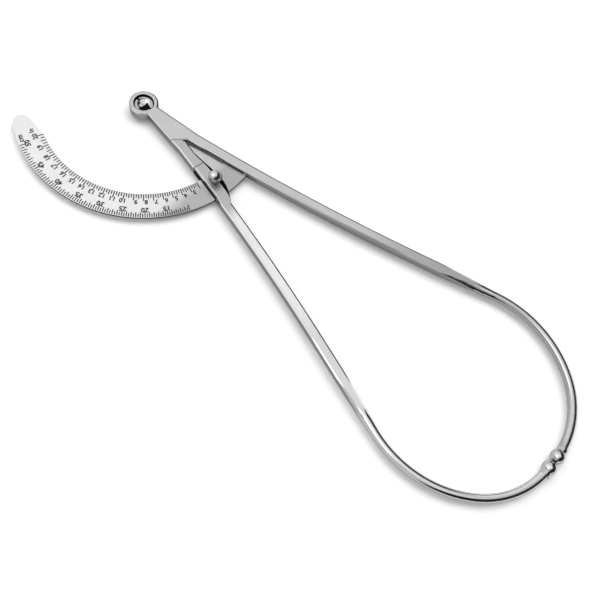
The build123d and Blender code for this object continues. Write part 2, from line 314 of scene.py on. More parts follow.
@dataclass(frozen=True)
class OldOil:
    """Dark ring of painted shade, or a crescent where its two circles have different centres.

    Attributes:
        inner: Its inner radius, or NO_HOLE.
        outer: Its outer radius.
        below: It lies below this level.
        moved: Centre of the inner circle.
        uneven: How far its edge wanders.
        side: It lies where Y is less than this.
    """

    inner: float
    outer: float
    below: float
    moved: Pair = (0.0, 0.0)
    uneven: float = 0.3 * MM
    side: float = 1.0

    NO_HOLE = -1.0
    # painted shade: the near-black colour of the ring
    TONE = (0.012, 0.011, 0.01)
    DULLNESS = 0.25  # added to the roughness
    CLOUDS = 900.0  # per metre, which the edge wanders with
    SOFT = 0.12 * MM  # half the width of its soft edge

    def wander(self, make: NodeMaker, place: Socket) -> Socket:
        """Place moved about a little, so that the painted shade's edge isn't even.

        Args:
            make: Maker on the material's tree.
            place: Socket with Object coordinates.

        Returns:
            Socket with the moved place.
        """
        cloud = make.add("ShaderNodeTexNoise", Vector=place, Scale=self.CLOUDS, Detail=2.0, Roughness=0.5)
        centred = make.vector("SUBTRACT", cloud.outputs["Color"], (0.5, 0.5, 0.5))
        return make.vector("ADD", place, make.scaled(centred, self.uneven))

    def cover(self, make: NodeMaker, place: Socket) -> Socket:
        """How far a spot is covered.

        Args:
            make: Maker on the material's tree.
            place: Socket with Object coordinates.

        Returns:
            Socket with 0 to 1.
        """
        place = self.wander(make, place)
        parts = make.add("ShaderNodeSeparateXYZ", Vector=place).outputs
        return make.product(
            make.rise(make.reach(place, self.moved), about(self.inner, self.SOFT)),
            make.fall(make.reach(place, (0.0, 0.0)), about(self.outer, self.SOFT)),
            make.fall(parts["Z"], about(self.below, self.SOFT)),
            make.fall(parts["Y"], about(self.side, self.SOFT)),
        )


@dataclass(frozen=True)
class OilWedge(OldOil):
    """Painted shade that spreads in a wedge from one point across the pivot screw's dish.

    Attributes:
        apex: Where it starts.
        start: Direction of one side, in degrees.
        end: Direction of the other side, in degrees.
    """

    apex: Pair = (0.0, 0.0)
    start: float = 0.0
    end: float = 0.0

    SOFT_SIDE = 0.18 * MM  # half the width of a side's soft edge

    def cover(self, make: NodeMaker, place: Socket) -> Socket:
        """How far a spot is covered: the ring's share that lies in the wedge.

        Args:
            make: Maker on the material's tree.
            place: Socket with Object coordinates.

        Returns:
            Socket with 0 to 1.
        """
        result = super().cover(make, place)
        place = self.wander(make, place)
        for turn, sign in ((self.start, 1.0), (self.end, -1.0)):
            angle = math.radians(turn)
            inwards = (-sign * math.sin(angle), sign * math.cos(angle), 0.0)
            offset = self.apex[0] * inwards[0] + self.apex[1] * inwards[1]
            inside = make.vector("DOT_PRODUCT", place, inwards)
            result = make.product(result, make.rise(inside, about(offset, self.SOFT_SIDE)))
        return result


@dataclass(frozen=True)
class Handling:
    """Painted shade along a piece: its brightness changes along X between two shares.

    Attributes:
        ends: X where the brightness starts to change and where it stops.
        shares: Share of its brightness that the metal has before and after them.
    """

    ends: Pair
    shares: Pair


@dataclass(frozen=True)
class SteelFinish:
    """Stainless steel with a polishing grain, faint blotches, rubbed patches and painted shade.

    Attributes:
        name: Name of the material.
        tone: Colour of the bare metal.
        roughness: Mean roughness.
        spread: How far the roughness swings about its mean.
        grain: Depth of the grain's bump.
        fineness: Grain lines per metre across the grain.
        lay: Direction of the grain.
        turned: True where the grain runs in circles about the piece's own axis.
        centre: Point on that axis.
        satin: Roughness of the level faces where they are duller than the rest, or 0.
        scatter: Share of the light that the level faces scatter, as fine satin does.
        handled: Painted shade that darkens the piece along X, or None.
        sides: Painted shade on the upright faces: the share of its brightness that they keep.
        edges: Painted shade on the chamfers of the bars: the same share for them.
        gap: Painted shade on the faces turned to +Y between the arms near the pivot: the same share for
            them.
        oil: Rings of painted shade.
    """

    name: str
    tone: Triple
    roughness: float = 0.2
    spread: float = 0.06
    grain: float = 0.04
    fineness: float = 2600.0
    lay: Lay = Lay.ALONG_X
    turned: bool = False
    centre: Triple = (0.0, 0.0, 0.0)
    satin: float = 0.0
    scatter: float = 0.0
    handled: Handling | None = None
    sides: float = 1.0
    edges: float = 1.0
    gap: float = 1.0
    oil: tuple[OldOil, ...] = ()

    BLOTCHES = 70.0  # clouds per metre
    BLOTCH_ENDS = (0.35, 0.7)  # values of the clouds from a blotch to clear metal
    BLOTCH_TONE = 0.94  # share of its brightness that a blotch keeps
    RUBS = 420.0  # rubbed patches per metre
    PITS = 300.0  # cells of shallow pits per metre
    PIT_DEPTH = 0.05  # as a share of the grain's
    LONG_GRAIN = 0.012  # fineness along the grain, as a share of that across it
    LINE_SWING = 0.02  # of the roughness, with the grain
    LOW_ANGLE = 0.6  # share of its brightness that steel keeps at a very low angle

    # How far a face looks up or down, or to +Y, where a look starts and where it ends
    SATIN_LEVEL = (0.97, 0.995)
    SCATTER_LEVEL = (0.985, 0.997)
    UPRIGHT = (0.4, 0.78)
    BROKEN_LOW = (0.76, 0.82)
    BROKEN_HIGH = (0.92, 0.95)
    INWARDS = (0.25, 0.38)

    # X between which a look comes or goes
    GAP_START = (48.0 * MM, 56.0 * MM)
    GAP_END = (78.0 * MM, 90.0 * MM)
    EDGES_END = (173.0 * MM, 181.0 * MM)
    SCATTER_END = (151.0 * MM, 181.0 * MM)

    def grain_lines(self, make: NodeMaker, place: Socket) -> Socket:
        """Long fine lines of the last polish.

        Args:
            make: Maker on the material's tree.
            place: Socket with Object coordinates.

        Returns:
            Socket with the height of the lines.
        """
        noise = "ShaderNodeTexNoise"
        if self.turned:
            reach = make.reach(place, self.centre)
            rings = make.add(noise, {"noise_dimensions": "1D"}, W=reach, Scale=self.fineness, Detail=3.0)
            return rings.outputs["Fac"]
        turn = (0.0, 0.0, math.radians(-self.lay.value))
        aligned = make.add("ShaderNodeMapping", Vector=place, Rotation=turn)
        stretch = (self.fineness * self.LONG_GRAIN, self.fineness, self.fineness)
        stretched = make.vector("MULTIPLY", aligned.outputs["Vector"], stretch)
        lines = make.add(noise, Vector=stretched, Scale=1.0, Detail=3.0, Roughness=0.6)
        return lines.outputs["Fac"]

    def bare_tone(self, make: NodeMaker, spot: Spot) -> Socket:
        """Tone of the polished metal, with its blotches and the painted shade that darkens one end.

        Args:
            make: Maker on the material's tree.
            spot: The spot's sockets.

        Returns:
            Socket with the tone.
        """
        blotches = make.add(
            "ShaderNodeTexNoise", Vector=spot.place, Scale=self.BLOTCHES, Detail=4.0, Roughness=0.55
        )
        clear = make.rise(blotches.outputs["Fac"], self.BLOTCH_ENDS)
        tone = make.mix(clear, opaque(self.tone, self.BLOTCH_TONE), opaque(self.tone))
        # painted shade: one end of the piece darker along X
        if self.handled:
            tone = make.scaled(tone, make.span(spot.along, self.handled.ends, *self.handled.shares))
        return tone

    def darkened(self, make: NodeMaker, spot: Spot, tone: Socket) -> Socket:
        """Tone with painted shade: the upright faces, the chamfers of the bars and the faces turned to +Y
        near the pivot made darker.

        Args:
            make: Maker on the material's tree.
            spot: The spot's sockets.
            tone: Socket with the polished metal's tone.

        Returns:
            Socket with the tone.
        """
        # painted shade: upright faces darker
        if self.sides < 1.0:
            tone = make.mix(make.fall(spot.facing, self.UPRIGHT), tone, opaque(self.tone, self.sides))
        # painted shade: the chamfers of the bars darker, short of the rods
        if self.edges < 1.0:
            broken = make.product(
                make.rise(spot.facing, self.BROKEN_LOW),
                make.fall(spot.facing, self.BROKEN_HIGH),
                make.fall(spot.along, self.EDGES_END),
            )
            tone = make.mix(broken, tone, opaque(self.tone, self.edges))
        # painted shade: faces turned to +Y darker between the arms near the pivot
        if self.gap < 1.0:
            inner = make.product(
                make.rise(spot.across, self.INWARDS),
                make.rise(spot.along, self.GAP_START),
                make.fall(spot.along, self.GAP_END),
            )
            tone = make.mix(inner, tone, opaque(self.tone, self.gap))
        return tone

    def dullness(self, make: NodeMaker, spot: Spot, lines: Socket) -> Socket:
        """Roughness, with its rubbed patches and its duller level faces.

        Args:
            make: Maker on the material's tree.
            spot: The spot's sockets.
            lines: Socket with the height of the grain's lines.

        Returns:
            Socket with the roughness.
        """
        rubs = make.add("ShaderNodeTexNoise", Vector=spot.place, Scale=self.RUBS, Detail=2.0, Roughness=0.5)
        rough = make.span(rubs.outputs["Fac"], NOISE_MIDDLE, *about(self.roughness, self.spread))
        swing = make.span(lines, NOISE_MIDDLE, -self.LINE_SWING, self.LINE_SWING)
        rough = make.math("ADD", rough, swing)
        if self.satin:
            level = make.span(spot.facing, self.SATIN_LEVEL, 0.0, self.satin - self.roughness)
            rough = make.math("ADD", rough, level)
        return rough

    def mirrored(self, make: NodeMaker, spot: Spot) -> object:
        """Share of the light that the steel mirrors. It scatters the rest.

        Args:
            make: Maker on the material's tree.
            spot: The spot's sockets.

        Returns:
            The share, or a socket with it.
        """
        if not self.scatter:
            return 1.0
        most = make.span(spot.along, self.SCATTER_END, self.scatter, 0.0)
        return make.math("SUBTRACT", 1.0, make.product(make.rise(spot.facing, self.SCATTER_LEVEL), most))

    def material(self) -> bpy.types.Material:
        """Builds the material, or returns the one already built.

        Returns:
            The steel as a Blender material.
        """
        known = bpy.data.materials.get(self.name)
        if known:
            return known
        steel = bpy.data.materials.new(self.name)
        make = cleared(steel)
        spot = Spot.read(make)
        lines = self.grain_lines(make, spot.place)
        tone = self.darkened(make, spot, self.bare_tone(make, spot))
        rough = self.dullness(make, spot, lines)
        # painted shade: the dark rings, which also add roughness
        for ring in self.oil:
            cover = ring.cover(make, spot.place)
            tone = make.mix(cover, tone, opaque(ring.TONE))
            rough = make.math("ADD", rough, make.product(cover, ring.DULLNESS))
        cells = {"feature": "DISTANCE_TO_EDGE"}
        pits = make.add("ShaderNodeTexVoronoi", cells, Vector=spot.place, Scale=self.PITS)
        depth = make.math("ADD", lines, make.product(pits.outputs["Distance"], self.PIT_DEPTH))
        bump = make.add("ShaderNodeBump", Height=depth, Strength=self.grain, Distance=BUMP_HEIGHT)
        shader = make.add(
            "ShaderNodeBsdfPrincipled",
            Base_Color=tone,
            Roughness=rough,
            Normal=bump.outputs["Normal"],
            Metallic=self.mirrored(make, spot),
            Specular_Tint=opaque((1.0, 1.0, 1.0), self.LOW_ANGLE),
        )
        make.add("ShaderNodeOutputMaterial", Surface=shader.outputs["BSDF"])
        return steel


@dataclass(frozen=True)
class FilledMark:
    """Black filling of the engraved marks, a little worn.

    Attributes:
        name: Name of the material.
        tone: Colour of the filling.
        rubbed: Its colour where it is worn.
    """

    name: str = "mark_filling"
    tone: Triple = (0.02, 0.02, 0.022)
    rubbed: Triple = (0.1, 0.1, 0.1)

    WEAR = 2200.0  # worn patches per metre
    WEAR_ENDS = (0.5, 0.8)  # values of the patches from sound filling to worn
    DULLNESS = (0.45, 0.7)  # least and most roughness

    def material(self) -> bpy.types.Material:
        """Builds the material, or returns the one already built.

        Returns:
            The filling as a Blender material.
        """
        known = bpy.data.materials.get(self.name)
        if known:
            return known
        filling = bpy.data.materials.new(self.name)
        make = cleared(filling)
        place = make.add("ShaderNodeTexCoord").outputs["Object"]
        wear = make.add("ShaderNodeTexNoise", Vector=place, Scale=self.WEAR, Detail=3.0).outputs["Fac"]
        bump = make.add("ShaderNodeBump", Height=wear, Strength=0.2, Distance=BUMP_HEIGHT)
        shader = make.add(
            "ShaderNodeBsdfPrincipled",
            Base_Color=make.mix(make.rise(wear, self.WEAR_ENDS), opaque(self.tone), opaque(self.rubbed)),
            Roughness=make.span(wear, NOISE_MIDDLE, *self.DULLNESS),
            Normal=bump.outputs["Normal"],
            Specular_IOR_Level=0.2,
        )
        make.add("ShaderNodeOutputMaterial", Surface=shader.outputs["BSDF"])
        return filling


GROUND_STEEL = SteelFinish("pin_ground", tone=(0.7, 0.7, 0.71), roughness=0.3)


def dress(node: str, finish: SteelFinish) -> None:
    """Gives a CAD node a finish.

    Args:
        node: Name of the node.
        finish: Its finish.
    """
    steel = finish.material()
    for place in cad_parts[node].material_slots:
        place.material = steel
    log.info("%s: %s", node, finish.name)


def hand_in(piece: bpy.types.Object, body: Body) -> None:
    """Registers a finished piece with the frame.

    Args:
        piece: The piece.
        body: The body it moves with.
    """
    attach(piece, body.value)
    log.info("%s rides on %s", piece.name, body.value)


def plain_copy(source: bpy.types.Object, name: str) -> bpy.types.Object:
    """Turns an object with modifiers, or a text, into a plain mesh object.

    Args:
        source: The object to read. It is removed.
        name: Name of the result.

    Returns:
        The new object, in the scene at the origin.
    """
    bpy.context.view_layer.update()
    ready = source.evaluated_get(bpy.context.evaluated_depsgraph_get())
    mesh = bpy.data.meshes.new_from_object(ready)
    mesh.name = name
    bpy.data.objects.remove(source)
    return put_in_scene(name, mesh)


def join(pieces: list[bpy.types.Object], name: str) -> bpy.types.Object:
    """Joins plain mesh objects that stand at the origin.

    Args:
        pieces: The objects. They are removed.
        name: Name of the result.

    Returns:
        One object with all their faces.
    """
    points: list[Vector] = []
    faces: list[tuple[int, ...]] = []
    for piece in pieces:
        start = len(points)
        points += [vertex.co.copy() for vertex in piece.data.vertices]
        faces += [tuple(start + index for index in face.vertices) for face in piece.data.polygons]
        bpy.data.objects.remove(piece)
    mesh = bpy.data.meshes.new(name)
    mesh.from_pydata(points, [], faces)
    mesh.update()
    return put_in_scene(name, mesh)


@dataclass(frozen=True)
class ScaleLaw:
    """Angle of a mark on the arc, from the opening at the tips.

    Attributes:
        tip_radius: Distance from the pivot to the tips.
        start: Angle of zero opening from the closed line, in degrees.
        drift: The maker's scale runs ahead of the true chord by up to this many degrees.
        span: Opening at which the drift is back to nothing.
    """

    tip_radius: float = 317.0 * MM
    start: float = 4.6
    drift: float = 2.7
    span: float = 760.0 * MM

    def angle(self, opening: float) -> float:
        """Angle of a mark.

        Args:
            opening: Distance between the tips.

        Returns:
            Angle in degrees, clockwise from +X.
        """
        chord = 2.0 * math.degrees(math.asin(opening / (2.0 * self.tip_radius)))
        return self.start + chord + self.drift * math.sin(math.pi * opening / self.span)


@dataclass
class TickRow:
    """One row of graduation marks, made by a geometry tree.

    Attributes:
        name: Name of the row.
        unit: Opening from one mark to the next.
        first: Number of the first mark, counted from zero opening.
        last: Number of the last mark.
        edge: Radius that the marks start from.
        inward: True where the marks run towards the pivot.
        lengths: Lengths of the short, middle and long marks.
        long_every: Every so many marks is a long one.
        middle_every: Every so many marks is a middle one.
        width: Width of a mark.
    """

    name: str
    unit: float
    first: int
    last: int
    edge: float
    inward: bool
    lengths: Triple
    long_every: int
    middle_every: int = 2
    width: float = 0.66 * MM

    TREE = "graduation_marks"
    INPUTS = {
        "NodeSocketInt": ("First", "Count", "Middle Every", "Long Every"),
        "NodeSocketFloat": (
            "Unit", "Edge", "Heading", "Short", "Middle", "Long", "Width", "Level", "Height",
            "Tip Radius", "Start", "Drift", "Span",
        ),
        "NodeSocketMaterial": ("Filling",),
    }

    def tree(self) -> bpy.types.NodeTree:
        """Builds the geometry tree that both rows share.

        Returns:
            The tree, with named inputs.
        """
        known = bpy.data.node_groups.get(self.TREE)
        if known:
            return known
        tree = bpy.data.node_groups.new(self.TREE, "GeometryNodeTree")
        for kind, labels in self.INPUTS.items():
            for label in labels:
                tree.interface.new_socket(label, in_out="INPUT", socket_type=kind)
        tree.interface.new_socket("Geometry", in_out="OUTPUT", socket_type="NodeSocketGeometry")
        make = NodeMaker(tree)
        sizes = make.add("NodeGroupInput").outputs
        number = make.math("ADD", make.add("GeometryNodeInputIndex").outputs[0], sizes["First"])
        turn = self.turn(make, number, sizes)
        length = self.length(make, number, sizes)
        radius = make.math("ADD", sizes["Edge"], make.product(length, 0.5, sizes["Heading"]))
        spot = make.add(
            "ShaderNodeCombineXYZ",
            X=make.product(radius, make.math("COSINE", turn)),
            Y=make.product(radius, make.math("SINE", turn)),
            Z=sizes["Level"],
        )
        marks = make.add("GeometryNodeMeshLine", Count=sizes["Count"]).outputs["Mesh"]
        placed = make.add("GeometryNodeSetPosition", Geometry=marks, Position=spot.outputs[0])
        size = make.add("ShaderNodeCombineXYZ", X=length, Y=sizes["Width"], Z=sizes["Height"])
        blocks = make.add(
            "GeometryNodeInstanceOnPoints",
            Points=placed.outputs[0],
            Instance=make.add("GeometryNodeMeshCube").outputs["Mesh"],
            Rotation=make.add("ShaderNodeCombineXYZ", Z=turn).outputs[0],
            Scale=size.outputs[0],
        )
        real = make.add("GeometryNodeRealizeInstances", Geometry=blocks.outputs[0]).outputs[0]
        filled = make.add("GeometryNodeSetMaterial", Geometry=real, Material=sizes["Filling"])
        make.add("NodeGroupOutput", Geometry=filled.outputs[0])
        return tree

    @staticmethod
    def turn(make: NodeMaker, number: Socket, sizes: bpy.types.bpy_prop_collection) -> Socket:
        """Turns each mark by its angle, which follows the scale's law.

        Args:
            make: Maker on the geometry tree.
            number: Socket with the mark's number.
            sizes: Outputs of the group's input node.

        Returns:
            Socket with the turn from +X.
        """
        opening = make.product(number, sizes["Unit"])
        share = make.math("DIVIDE", opening, make.product(sizes["Tip Radius"], 2.0))
        chord = make.product(make.math("ARCSINE", share), 2.0)
        phase = make.math("DIVIDE", make.product(opening, math.pi), sizes["Span"])
        drift = make.product(make.math("SINE", phase), sizes["Drift"])
        angle = make.math("ADD", make.math("ADD", chord, sizes["Start"]), drift)
        return make.product(angle, -1.0)

    @staticmethod
    def length(make: NodeMaker, number: Socket, sizes: bpy.types.bpy_prop_collection) -> Socket:
        """Chooses each mark's length from its number.

        Args:
            make: Maker on the geometry tree.
            number: Socket with the mark's number.
            sizes: Outputs of the group's input node.

        Returns:
            Socket with the length.
        """
        result = sizes["Short"]
        for label in ("Middle", "Long"):
            rest = make.math("MODULO", number, sizes[f"{label} Every"])
            is_one = make.math("LESS_THAN", rest, 0.5)
            longer = make.product(is_one, make.math("SUBTRACT", sizes[label], result))
            result = make.math("ADD", result, longer)
        return result

    def build(self, level: float, height: float, law: ScaleLaw) -> bpy.types.Object:
        """Makes the row as one plain mesh.

        Args:
            level: Height of the marks' middle.
            height: Thickness of the marks.
            law: Where each mark goes.

        Returns:
            The finished piece.
        """
        carrier = put_in_scene(self.name, bpy.data.meshes.new(self.name))
        tree = self.tree()
        maker = carrier.modifiers.new("marks", "NODES")
        maker.node_group = tree
        short, middle, long = self.lengths
        values = {
            "Unit": self.unit,
            "First": self.first,
            "Count": self.last - self.first + 1,
            "Edge": self.edge,
            "Heading": -1.0 if self.inward else 1.0,
            "Short": short,
            "Middle": middle,
            "Long": long,
            "Middle Every": self.middle_every,
            "Long Every": self.long_every,
            "Width": self.width,
            "Level": level,
            "Height": height,
            "Tip Radius": law.tip_radius,
            "Start": math.radians(law.start),
            "Drift": math.radians(law.drift),
            "Span": law.span,
            "Filling": FilledMark().material(),
        }
        for socket in tree.interface.items_tree:
            if socket.in_out == "INPUT":
                maker[socket.identifier] = values[socket.name]
        return plain_copy(carrier, self.name)


@dataclass
class NumberRow:
    """Numbers that stand beside a row of marks, upright as seen from the pivot.

    Attributes:
        name: Name of the row.
        unit: Opening from one whole unit to the next.
        numbers: The numbers.
        radius: Radius of their middle.
        height: Height of a digit.
        unit_mark: The unit's sign at the row's end, with its angle and radius.
        single_lead: Numbers of one digit stand this many degrees ahead of their mark.
        filling: What the numbers are filled with.
    """

    name: str
    unit: float
    numbers: tuple[int, ...]
    radius: float
    height: float
    unit_mark: tuple[str, float, float] | None = None
    single_lead: float = 1.3
    filling: FilledMark = FilledMark()

    DIGIT = 0.72  # height of a digit in type of size 1
    BOLDNESS = 0.058  # widening of the strokes, as a share of the height
    SPACING = 1.12  # of the digits, beside the type's own
    THICKNESS = 0.01 * MM  # above and below the level
    CURVE_STEPS = 5

    def write(self, words: str, angle: float, radius: float, level: float) -> bpy.types.Object:
        """Writes one number flat on the arc.

        Args:
            words: What to write.
            angle: Where, in degrees clockwise from +X.
            radius: Distance of its middle from the pivot.
            level: Height of its middle.

        Returns:
            A plain mesh object with its place in its mesh.
        """
        text = bpy.data.curves.new("number", "FONT")
        text.body = words
        text.align_x = text.align_y = "CENTER"
        text.size = self.height / self.DIGIT
        text.extrude = self.THICKNESS
        text.offset = self.height * self.BOLDNESS
        text.space_character = self.SPACING
        text.resolution_u = self.CURVE_STEPS
        flat = plain_copy(put_in_scene("number", text), "number")
        turn = math.radians(-angle)
        spot = Vector((radius * math.cos(turn), radius * math.sin(turn), level))
        flat.data.transform(Matrix.Translation(spot) @ Matrix.Rotation(turn - math.pi / 2.0, 4, "Z"))
        return flat

    def build(self, level: float, law: ScaleLaw) -> bpy.types.Object:
        """Makes the whole row as one mesh.

        Args:
            level: Height of the numbers.
            law: Where each number goes.

        Returns:
            The finished piece.
        """
        written = []
        for number in self.numbers:
            lead = self.single_lead if number < 10 else 0.0
            angle = law.angle(number * self.unit) - lead
            written.append(self.write(str(number), angle, self.radius, level))
        if self.unit_mark:
            written.append(self.write(*self.unit_mark, level))
        joined = join(written, self.name)
        joined.data.materials.append(self.filling.material())
        return joined


@dataclass
class Arms:
    """The two arms with their ball tips.

    Attributes:
        ball_place: Middle of the right ball. The left one is its mirror image.
        recess_oil: Painted shade round the pivot screw in its recess.
        root_oil: Painted shade along the arc's root in the right arm.
        slot_oil: Painted shade in the left arm's slot for the arc.
    """

    ball_place: Triple = (317.0 * MM, 4.25 * MM, 4.25 * MM)
    recess_oil: OldOil = OldOil(inner=OldOil.NO_HOLE, outer=6.35 * MM, below=7.0 * MM)
    root_oil: OldOil = OldOil(inner=61.4 * MM, outer=78.4 * MM, below=5.4 * MM, uneven=0.0, side=9.5 * MM)
    slot_oil: OldOil = OldOil(inner=54.5 * MM, outer=77.9 * MM, below=5.9 * MM, uneven=0.0)

    def dress(self) -> None:
        """Gives the arms and the balls their finishes."""
        # The right arm's tone is set darker than the left arm's, though both are the same steel: painted
        # shade on the right arm.
        right = SteelFinish(
            "right_arm_steel", tone=(0.69, 0.69, 0.70), roughness=0.13, spread=0.03, grain=0.008,
            lay=Lay.ALONG_RIGHT_ARM, satin=0.35, scatter=0.3, sides=0.48, edges=0.62,
            oil=(self.recess_oil, self.root_oil),
        )
        dress("right_arm", right)
        # The left arm is painted darker towards the pivot, up to X of 86 to 94 mm: painted shade.
        left = SteelFinish(
            "left_arm_steel", tone=(0.97, 0.97, 0.97), roughness=0.13, spread=0.03, grain=0.008,
            lay=Lay.ALONG_LEFT_ARM, satin=0.37, scatter=0.3, sides=0.42, edges=0.52, gap=0.05,
            handled=Handling(ends=(86.0 * MM, 94.0 * MM), shares=(0.6, 1.0)), oil=(self.slot_oil,),
        )
        dress("left_arm_bar", left)
        dress("left_arm_head", left)
        along, across, up = self.ball_place
        for side, centre in (("right", (along, across, up)), ("left", (along, -across, up))):
            # The balls' upright faces are painted darker: painted shade.
            polish = SteelFinish(
                f"{side}_ball_polish", tone=(0.83, 0.83, 0.84), roughness=0.14, spread=0.02,
                turned=True, centre=centre, sides=0.5,
            )
            dress(f"{side}_tip_ball", polish)


@dataclass
class GraduatedArc:
    """The flat arc with its engraved scale.

    Attributes:
        level: Top of the arc.
        outer: Outer radius.
        inner: Inner radius.
        mark_height: Thickness of the marks.
        law: Where the marks go.
    """

    level: float = 4.2 * MM
    outer: float = 77.6 * MM
    inner: float = 61.9 * MM
    mark_height: float = 0.02 * MM
    law: ScaleLaw = ScaleLaw()

    def dress(self) -> None:
        """Gives the arc and its pins their finishes."""
        # The arc is painted darker where X is past 57 to 65 mm, near the arms, and its upright faces much
        # darker: painted shade.
        satin = SteelFinish(
            "arc_satin", tone=(0.95, 0.95, 0.95), roughness=0.2, spread=0.02, grain=0.005,
            turned=True, fineness=4200.0, scatter=0.28, sides=0.1,
            handled=Handling(ends=(57.0 * MM, 65.0 * MM), shares=(1.0, 0.6)),
        )
        dress("graduated_arc", satin)
        dress("arc_pins", GROUND_STEEL)

    def engrave(self) -> None:
        """Makes the marks, the numbers and the unit signs."""
        outer_marks = TickRow(
            name="centimetre_marks", unit=5.0 * MM, first=20, last=100, edge=self.outer - 0.3 * MM,
            inward=True, lengths=(2.3 * MM, 3.2 * MM, 3.9 * MM), long_every=10,
        )
        inner_marks = TickRow(
            name="inch_marks", unit=6.35 * MM, first=8, last=80, edge=self.inner + 0.15 * MM,
            inward=False, lengths=(2.5 * MM, 3.2 * MM, 4.5 * MM), long_every=4,
        )
        for row in (outer_marks, inner_marks):
            hand_in(row.build(self.level, self.mark_height, self.law), Body.RIGHT)
        centimetres = NumberRow(
            name="centimetre_numbers", unit=10.0 * MM, numbers=tuple(range(15, 51, 5)),
            radius=72.5 * MM, height=3.0 * MM, unit_mark=("cm", 114.5, 75.3 * MM),
        )
        worn = NumberRow(
            name="worn_number", unit=10.0 * MM, numbers=(10,), radius=72.5 * MM, height=3.0 * MM,
            filling=FilledMark("worn_filling", tone=(0.45, 0.45, 0.45), rubbed=(0.7, 0.7, 0.7)),
        )
        inches = NumberRow(
            name="inch_numbers", unit=25.4 * MM, numbers=tuple(range(3, 21)),
            radius=67.2 * MM, height=2.75 * MM, unit_mark=("in", 117.3, 68.2 * MM),
        )
        for row in (centimetres, worn, inches):
            hand_in(row.build(self.level, self.law), Body.RIGHT)


@dataclass
class Pivot:
    """Pivot screw, washer and nut.

    Attributes:
        rim_oil: Painted shade round the screw's rim, wider on one side.
        slot_oil: Painted shade in the ends of the screw's slot.
        dish_oil: Thin crescent of painted shade at the dish's edge.
        dried_oil: Painted shade in a wedge across the dish.
    """

    rim_oil: OldOil = OldOil(inner=5.4 * MM, outer=7.0 * MM, below=7.0 * MM, moved=(0.38 * MM, -0.38 * MM))
    slot_oil: OldOil = OldOil(inner=3.75 * MM, outer=7.0 * MM, below=6.05 * MM)
    dish_oil: OldOil = OldOil(inner=3.7 * MM, outer=4.0 * MM, below=7.0 * MM, moved=(0.25 * MM, 0.3 * MM))
    dried_oil: OilWedge = OilWedge(
        inner=OldOil.NO_HOLE, outer=5.2 * MM, below=7.0 * MM,
        apex=(0.5 * MM, 2.45 * MM), start=-91.0, end=-21.0,
    )

    def dress(self) -> None:
        """Gives the pivot's pieces their finishes."""
        # The screw's dark rings, slot ends and wedge are painted shade.
        turned = SteelFinish(
            "pivot_turned", tone=(0.78, 0.78, 0.79), roughness=0.16, turned=True, fineness=5200.0,
            oil=(self.rim_oil, self.slot_oil, self.dish_oil, self.dried_oil),
        )
        dress("pivot_screw", turned)
        dress("pivot_nut", SteelFinish("nut_ground", tone=(0.72, 0.72, 0.73), roughness=0.3))
        dress("nut_washer", GROUND_STEEL)


@dataclass
class ClampScrew:
    """Ball knob, screw and pad of the clamp.

    Attributes:
        centre: Middle of the ball.
    """

    centre: Triple = (67.94 * MM, -7.94 * MM, 11.6 * MM)

    def dress(self) -> None:
        """Gives the clamp's pieces their finishes."""
        polish = SteelFinish(
            # The knob's upright faces are painted darker: painted shade.
            "knob_polish", tone=(0.83, 0.83, 0.84), roughness=0.24, spread=0.02,
            turned=True, centre=self.centre, sides=0.35,
        )
        dress("clamp_knob", polish)
        screw = SteelFinish(
            "screw_turned", tone=(0.72, 0.72, 0.73), roughness=0.25, turned=True, centre=self.centre
        )
        dress("clamp_screw", screw)
        dress("clamp_pad", GROUND_STEEL)


@dataclass
class SpringLeaf:
    """Friction spring, its pin, and the hidden fasteners of the left arm."""

    def dress(self) -> None:
        """Gives the leaf and the small fasteners their finishes."""
        leaf = SteelFinish("leaf_satin", tone=(0.84, 0.84, 0.85), roughness=0.24, grain=0.006)
        dress("friction_spring", leaf)
        for node in ("spring_pin", "slot_spacer"):
            dress(node, GROUND_STEEL)
        dress("lap_screws", SteelFinish("small_screw_steel", tone=(0.72, 0.72, 0.73), roughness=0.28))


@dataclass(frozen=True)
class SkyPatch:
    """Part of the surround that is brighter or darker than the rest.

    Attributes:
        aim: Direction of its middle, of about length 1.
        ends: Cosines of the angle from its middle where it starts and where it is full.
        depth: How bright or how dark it is where it is full.
    """

    aim: Triple
    ends: Pair
    depth: float = 0.97

    def share(self, make: NodeMaker, direction: Socket) -> Socket:
        """How strong it is in one direction.

        Args:
            make: Maker on the world's tree.
            direction: Socket with the direction looked in.

        Returns:
            Socket with 0 to its depth.
        """
        towards = make.vector("DOT_PRODUCT", direction, self.aim)
        return make.span(towards, self.ends, 0.0, self.depth)


@dataclass(frozen=True)
class Lamp:
    """Soft lamp that isn't seen in reflections.

    Attributes:
        name: Its name.
        place: Where its light comes from.
        strength: Watts per square metre.
    """

    name: str
    place: Triple
    strength: float


